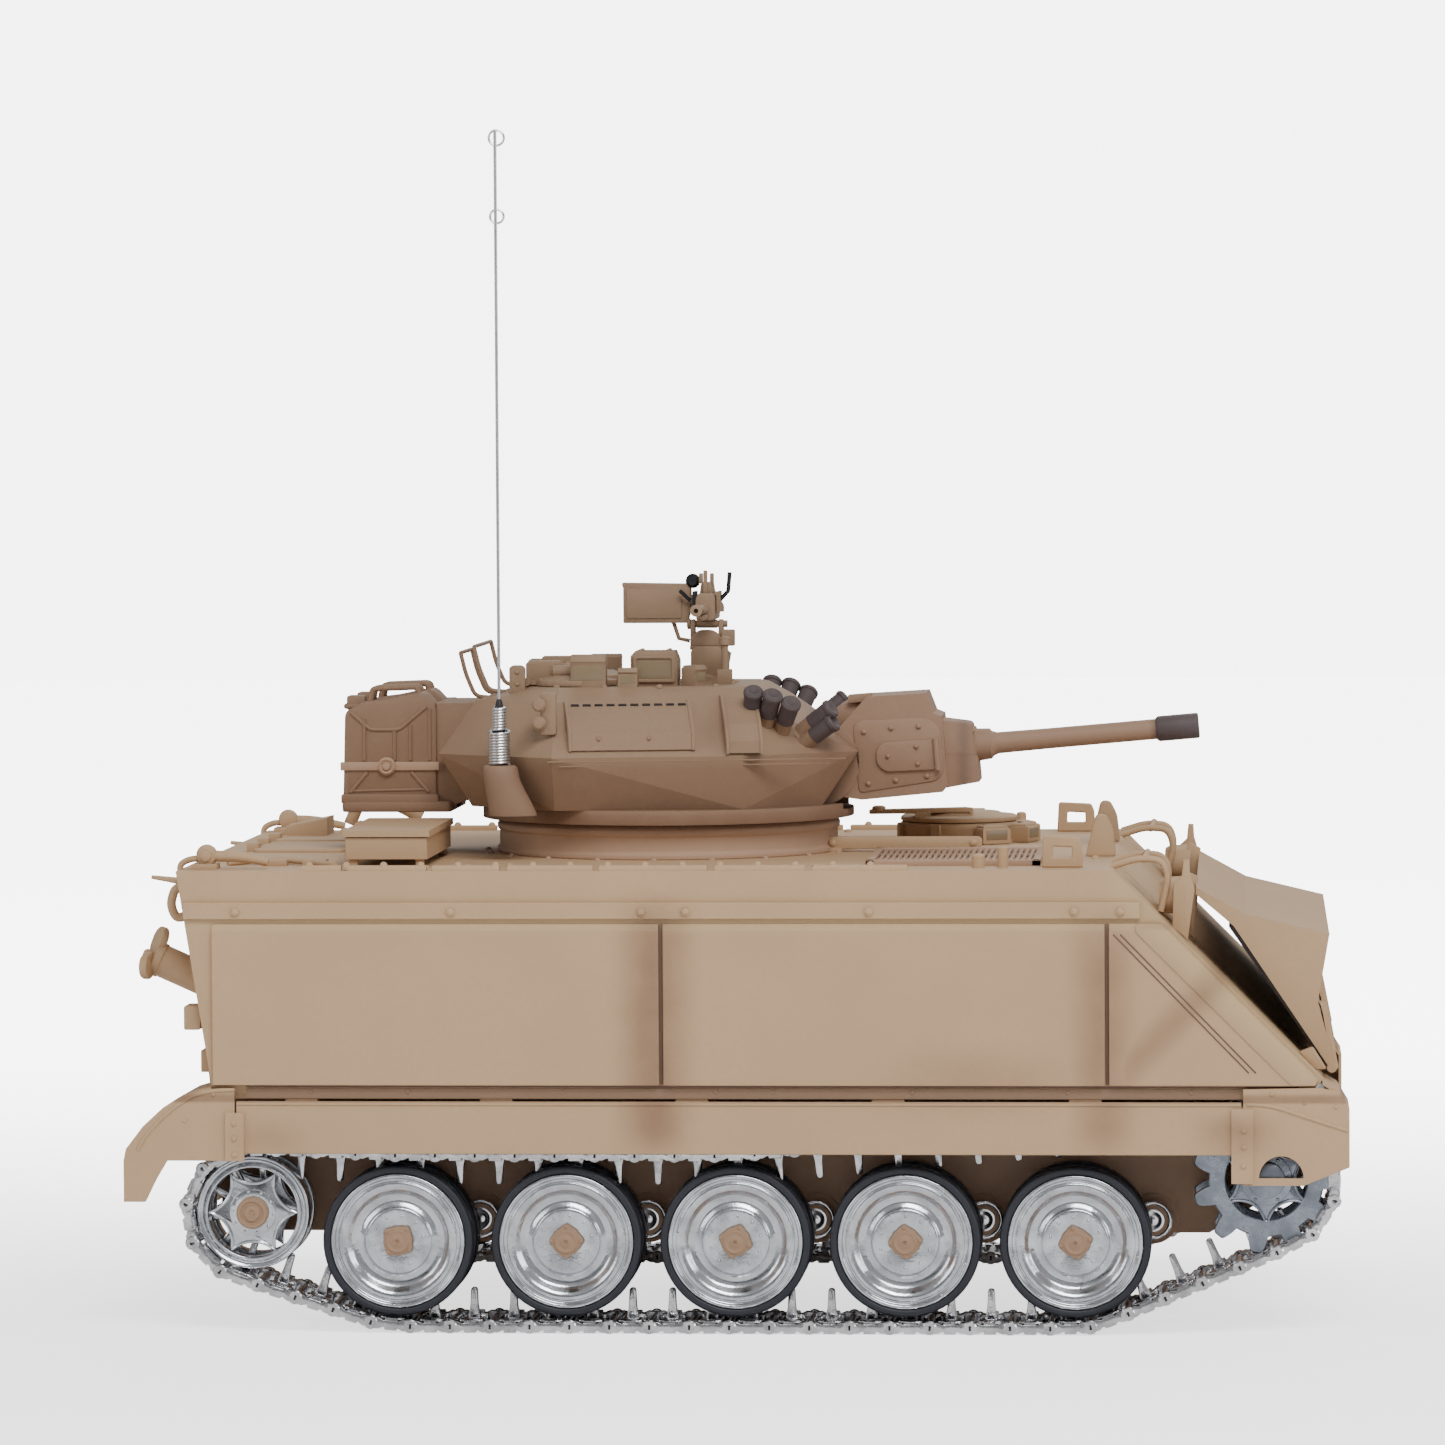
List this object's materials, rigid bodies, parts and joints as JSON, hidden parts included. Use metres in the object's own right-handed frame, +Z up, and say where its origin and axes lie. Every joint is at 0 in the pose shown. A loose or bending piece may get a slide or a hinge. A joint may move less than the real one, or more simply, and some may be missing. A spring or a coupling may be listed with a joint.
{
  "type": "rc tank",
  "caption": "Remote-control model tank: boxy tracked carrier hull, sloped bow, faceted turret with a short raised gun, twin road wheels in metal link tracks.",
  "frame": {"origin": "on the ground under the middle of the vehicle", "axes": "+X forward, +Y to the vehicle's left, +Z up"},
  "size_m": [0.3008, 0.1696, 0.2966],
  "materials": {
    "sand_paint": "matt sand paint, airbrushed darker along the panel joints",
    "lens": "clear",
    "dark_metal": "dark oiled steel",
    "battery_wrap": "shrink film",
    "circuit_board": "solder mask",
    "black_plastic": "moulded",
    "track_metal": "bright cast metal",
    "wheel_metal": "bright pressed metal with black rubber tyres",
    "antenna_metal": "bright spring wire"
  },
  "bodies": {
    "hull": {"lower_hull": "sand_paint", "upper_hull": "sand_paint", "side_panels": "sand_paint", "side_skirts": "sand_paint", "front_fenders": "sand_paint", "rear_fenders": "sand_paint", "engine_grille": "sand_paint", "driver_cupola": "sand_paint", "roof_box": "sand_paint", "headlamps": "sand_paint", "headlamp_lenses": "lens", "bow_fittings": "sand_paint", "rear_fittings": "sand_paint", "hull_bolts": "sand_paint", "gearmotors": "dark_metal", "battery_pack": "battery_wrap", "control_board": "circuit_board", "speaker": "black_plastic", "track_right": "track_metal", "track_left": "track_metal", "turret_race": "sand_paint"},
    "driver_hatch": {"driver_hatch": "sand_paint"},
    "roof_box_lid": {"roof_box_lid": "sand_paint"},
    "trim_vane": {"trim_vane": "sand_paint"},
    "rear_ramp": {"rear_ramp": "sand_paint"},
    "swing_arm_r1": {"swing_arm_r1": "dark_metal"},
    "road_wheel_r1": {"road_wheel_r1": "wheel_metal"},
    "swing_arm_r2": {"swing_arm_r2": "dark_metal"},
    "road_wheel_r2": {"road_wheel_r2": "wheel_metal"},
    "swing_arm_r3": {"swing_arm_r3": "dark_metal"},
    "road_wheel_r3": {"road_wheel_r3": "wheel_metal"},
    "swing_arm_r4": {"swing_arm_r4": "dark_metal"},
    "road_wheel_r4": {"road_wheel_r4": "wheel_metal"},
    "swing_arm_r5": {"swing_arm_r5": "dark_metal"},
    "road_wheel_r5": {"road_wheel_r5": "wheel_metal"},
    "swing_arm_l1": {"swing_arm_l1": "dark_metal"},
    "road_wheel_l1": {"road_wheel_l1": "wheel_metal"},
    "swing_arm_l2": {"swing_arm_l2": "dark_metal"},
    "road_wheel_l2": {"road_wheel_l2": "wheel_metal"},
    "swing_arm_l3": {"swing_arm_l3": "dark_metal"},
    "road_wheel_l3": {"road_wheel_l3": "wheel_metal"},
    "swing_arm_l4": {"swing_arm_l4": "dark_metal"},
    "road_wheel_l4": {"road_wheel_l4": "wheel_metal"},
    "swing_arm_l5": {"swing_arm_l5": "dark_metal"},
    "road_wheel_l5": {"road_wheel_l5": "wheel_metal"},
    "idler_right": {"idler_right": "wheel_metal"},
    "sprocket_right": {"sprocket_right": "wheel_metal"},
    "idler_left": {"idler_left": "wheel_metal"},
    "sprocket_left": {"sprocket_left": "wheel_metal"},
    "turret": {"turret_shell": "sand_paint", "stowage_rack": "sand_paint", "smoke_launchers": "sand_paint", "turret_sights": "sand_paint", "antenna": "antenna_metal"},
    "commander_hatch": {"commander_hatch": "sand_paint"},
    "gunner_hatch": {"gunner_hatch": "sand_paint"},
    "mg_mount": {"mg_mount": "sand_paint"},
    "machine_gun": {"machine_gun": "sand_paint"},
    "gun": {"gun_mantlet": "sand_paint", "gun_barrel": "sand_paint"}
  },
  "joints": [
    {"name": "sprocket_right_spin", "type": "hinge", "parent": "hull", "child": "sprocket_right", "pos_m": [0.1302, -0.0706, 0.0381], "axis": [0, 1, 0], "continuous": true, "deforming": ["track_right"]},
    {"name": "idler_right_spin", "type": "hinge", "parent": "hull", "child": "idler_right", "pos_m": [-0.1192, -0.0706, 0.0293], "axis": [0, 1, 0], "continuous": true},
    {"name": "swing_arm_r1_lift", "type": "hinge", "parent": "hull", "child": "swing_arm_r1", "pos_m": [-0.0645, -0.0706, 0.026], "axis": [0, 1, 0], "range_deg": [0, 3.5], "stiffness_Nm_per_rad": 0.6, "springref_deg": -3.44},
    {"name": "road_wheel_r1_spin", "type": "hinge", "parent": "swing_arm_r1", "child": "road_wheel_r1", "pos_m": [-0.0832, -0.0706, 0.0224], "axis": [0, 1, 0], "continuous": true},
    {"name": "swing_arm_r2_lift", "type": "hinge", "parent": "hull", "child": "swing_arm_r2", "pos_m": [-0.0228, -0.0706, 0.026], "axis": [0, 1, 0], "range_deg": [0, 3.5], "stiffness_Nm_per_rad": 0.6, "springref_deg": -3.44},
    {"name": "road_wheel_r2_spin", "type": "hinge", "parent": "swing_arm_r2", "child": "road_wheel_r2", "pos_m": [-0.0415, -0.0706, 0.0224], "axis": [0, 1, 0], "continuous": true},
    {"name": "swing_arm_r3_lift", "type": "hinge", "parent": "hull", "child": "swing_arm_r3", "pos_m": [0.0189, -0.0706, 0.026], "axis": [0, 1, 0], "range_deg": [0, 3.5], "stiffness_Nm_per_rad": 0.6, "springref_deg": -3.44},
    {"name": "road_wheel_r3_spin", "type": "hinge", "parent": "swing_arm_r3", "child": "road_wheel_r3", "pos_m": [0.0002, -0.0706, 0.0224], "axis": [0, 1, 0], "continuous": true},
    {"name": "swing_arm_r4_lift", "type": "hinge", "parent": "hull", "child": "swing_arm_r4", "pos_m": [0.0606, -0.0706, 0.026], "axis": [0, 1, 0], "range_deg": [0, 3.5], "stiffness_Nm_per_rad": 0.6, "springref_deg": -3.44},
    {"name": "road_wheel_r4_spin", "type": "hinge", "parent": "swing_arm_r4", "child": "road_wheel_r4", "pos_m": [0.0419, -0.0706, 0.0224], "axis": [0, 1, 0], "continuous": true},
    {"name": "swing_arm_r5_lift", "type": "hinge", "parent": "hull", "child": "swing_arm_r5", "pos_m": [0.1023, -0.0706, 0.026], "axis": [0, 1, 0], "range_deg": [0, 3.5], "stiffness_Nm_per_rad": 0.6, "springref_deg": -3.44},
    {"name": "road_wheel_r5_spin", "type": "hinge", "parent": "swing_arm_r5", "child": "road_wheel_r5", "pos_m": [0.0836, -0.0706, 0.0224], "axis": [0, 1, 0], "continuous": true},
    {"name": "sprocket_left_spin", "type": "hinge", "parent": "hull", "child": "sprocket_left", "pos_m": [0.1302, 0.0706, 0.0381], "axis": [0, 1, 0], "continuous": true, "deforming": ["track_left"]},
    {"name": "idler_left_spin", "type": "hinge", "parent": "hull", "child": "idler_left", "pos_m": [-0.1192, 0.0706, 0.0293], "axis": [0, 1, 0], "continuous": true},
    {"name": "swing_arm_l1_lift", "type": "hinge", "parent": "hull", "child": "swing_arm_l1", "pos_m": [-0.0645, 0.0706, 0.026], "axis": [0, 1, 0], "range_deg": [0, 3.5], "stiffness_Nm_per_rad": 0.6, "springref_deg": -3.44},
    {"name": "road_wheel_l1_spin", "type": "hinge", "parent": "swing_arm_l1", "child": "road_wheel_l1", "pos_m": [-0.0832, 0.0706, 0.0224], "axis": [0, 1, 0], "continuous": true},
    {"name": "swing_arm_l2_lift", "type": "hinge", "parent": "hull", "child": "swing_arm_l2", "pos_m": [-0.0228, 0.0706, 0.026], "axis": [0, 1, 0], "range_deg": [0, 3.5], "stiffness_Nm_per_rad": 0.6, "springref_deg": -3.44},
    {"name": "road_wheel_l2_spin", "type": "hinge", "parent": "swing_arm_l2", "child": "road_wheel_l2", "pos_m": [-0.0415, 0.0706, 0.0224], "axis": [0, 1, 0], "continuous": true},
    {"name": "swing_arm_l3_lift", "type": "hinge", "parent": "hull", "child": "swing_arm_l3", "pos_m": [0.0189, 0.0706, 0.026], "axis": [0, 1, 0], "range_deg": [0, 3.5], "stiffness_Nm_per_rad": 0.6, "springref_deg": -3.44},
    {"name": "road_wheel_l3_spin", "type": "hinge", "parent": "swing_arm_l3", "child": "road_wheel_l3", "pos_m": [0.0002, 0.0706, 0.0224], "axis": [0, 1, 0], "continuous": true},
    {"name": "swing_arm_l4_lift", "type": "hinge", "parent": "hull", "child": "swing_arm_l4", "pos_m": [0.0606, 0.0706, 0.026], "axis": [0, 1, 0], "range_deg": [0, 3.5], "stiffness_Nm_per_rad": 0.6, "springref_deg": -3.44},
    {"name": "road_wheel_l4_spin", "type": "hinge", "parent": "swing_arm_l4", "child": "road_wheel_l4", "pos_m": [0.0419, 0.0706, 0.0224], "axis": [0, 1, 0], "continuous": true},
    {"name": "swing_arm_l5_lift", "type": "hinge", "parent": "hull", "child": "swing_arm_l5", "pos_m": [0.1023, 0.0706, 0.026], "axis": [0, 1, 0], "range_deg": [0, 3.5], "stiffness_Nm_per_rad": 0.6, "springref_deg": -3.44},
    {"name": "road_wheel_l5_spin", "type": "hinge", "parent": "swing_arm_l5", "child": "road_wheel_l5", "pos_m": [0.0836, 0.0706, 0.0224], "axis": [0, 1, 0], "continuous": true},
    {"name": "driver_hatch_hinge", "type": "hinge", "parent": "hull", "child": "driver_hatch", "pos_m": [0.051, 0.0529, 0.1202], "axis": [-1, 0, 0], "range_deg": [0, 100]},
    {"name": "roof_box_lid_hinge", "type": "hinge", "parent": "hull", "child": "roof_box_lid", "pos_m": [-0.0982, 0, 0.1223], "axis": [0, -1, 0], "range_deg": [0, 95]},
    {"name": "trim_vane_hinge", "type": "hinge", "parent": "hull", "child": "trim_vane", "pos_m": [0.1463, 0, 0.0646], "axis": [0, 1, 0], "range_deg": [0, 75]},
    {"name": "rear_ramp_hinge", "type": "hinge", "parent": "hull", "child": "rear_ramp", "pos_m": [-0.1319, 0, 0.0305], "axis": [0, -1, 0], "range_deg": [0, 105]},
    {"name": "turret_yaw", "type": "hinge", "parent": "hull", "child": "turret", "pos_m": [-0.022, 0, 0.1265], "axis": [0, 0, 1], "continuous": true},
    {"name": "gun_elevation", "type": "hinge", "parent": "turret", "child": "gun", "pos_m": [0.0164, 0, 0.1367], "axis": [0, -1, 0], "range_deg": [-9, 20]},
    {"name": "commander_hatch_hinge", "type": "hinge", "parent": "turret", "child": "commander_hatch", "pos_m": [-0.0561, -0.017, 0.1579], "axis": [0, -1, 0], "range_deg": [0, 90]},
    {"name": "gunner_hatch_hinge", "type": "hinge", "parent": "turret", "child": "gunner_hatch", "pos_m": [-0.0561, 0.017, 0.1579], "axis": [0, -1, 0], "range_deg": [0, 90]},
    {"name": "mg_yaw", "type": "hinge", "parent": "turret", "child": "mg_mount", "pos_m": [-0.012, 0.002, 0.1567], "axis": [0, 0, 1], "range_deg": [-60, 60]},
    {"name": "mg_elevation", "type": "hinge", "parent": "mg_mount", "child": "machine_gun", "pos_m": [-0.012, 0.002, 0.1717], "axis": [-1, 0, 0], "range_deg": [-10, 45]}
  ],
  "couplings": [
    {"joint": "idler_right_spin", "follows": "sprocket_right_spin", "ratio": 1.0623},
    {"joint": "road_wheel_r1_spin", "follows": "sprocket_right_spin", "ratio": 0.92524},
    {"joint": "road_wheel_r2_spin", "follows": "sprocket_right_spin", "ratio": 0.92524},
    {"joint": "road_wheel_r3_spin", "follows": "sprocket_right_spin", "ratio": 0.92524},
    {"joint": "road_wheel_r4_spin", "follows": "sprocket_right_spin", "ratio": 0.92524},
    {"joint": "road_wheel_r5_spin", "follows": "sprocket_right_spin", "ratio": 0.92524},
    {"joint": "idler_left_spin", "follows": "sprocket_left_spin", "ratio": 1.0623},
    {"joint": "road_wheel_l1_spin", "follows": "sprocket_left_spin", "ratio": 0.92524},
    {"joint": "road_wheel_l2_spin", "follows": "sprocket_left_spin", "ratio": 0.92524},
    {"joint": "road_wheel_l3_spin", "follows": "sprocket_left_spin", "ratio": 0.92524},
    {"joint": "road_wheel_l4_spin", "follows": "sprocket_left_spin", "ratio": 0.92524},
    {"joint": "road_wheel_l5_spin", "follows": "sprocket_left_spin", "ratio": 0.92524}
  ]
}
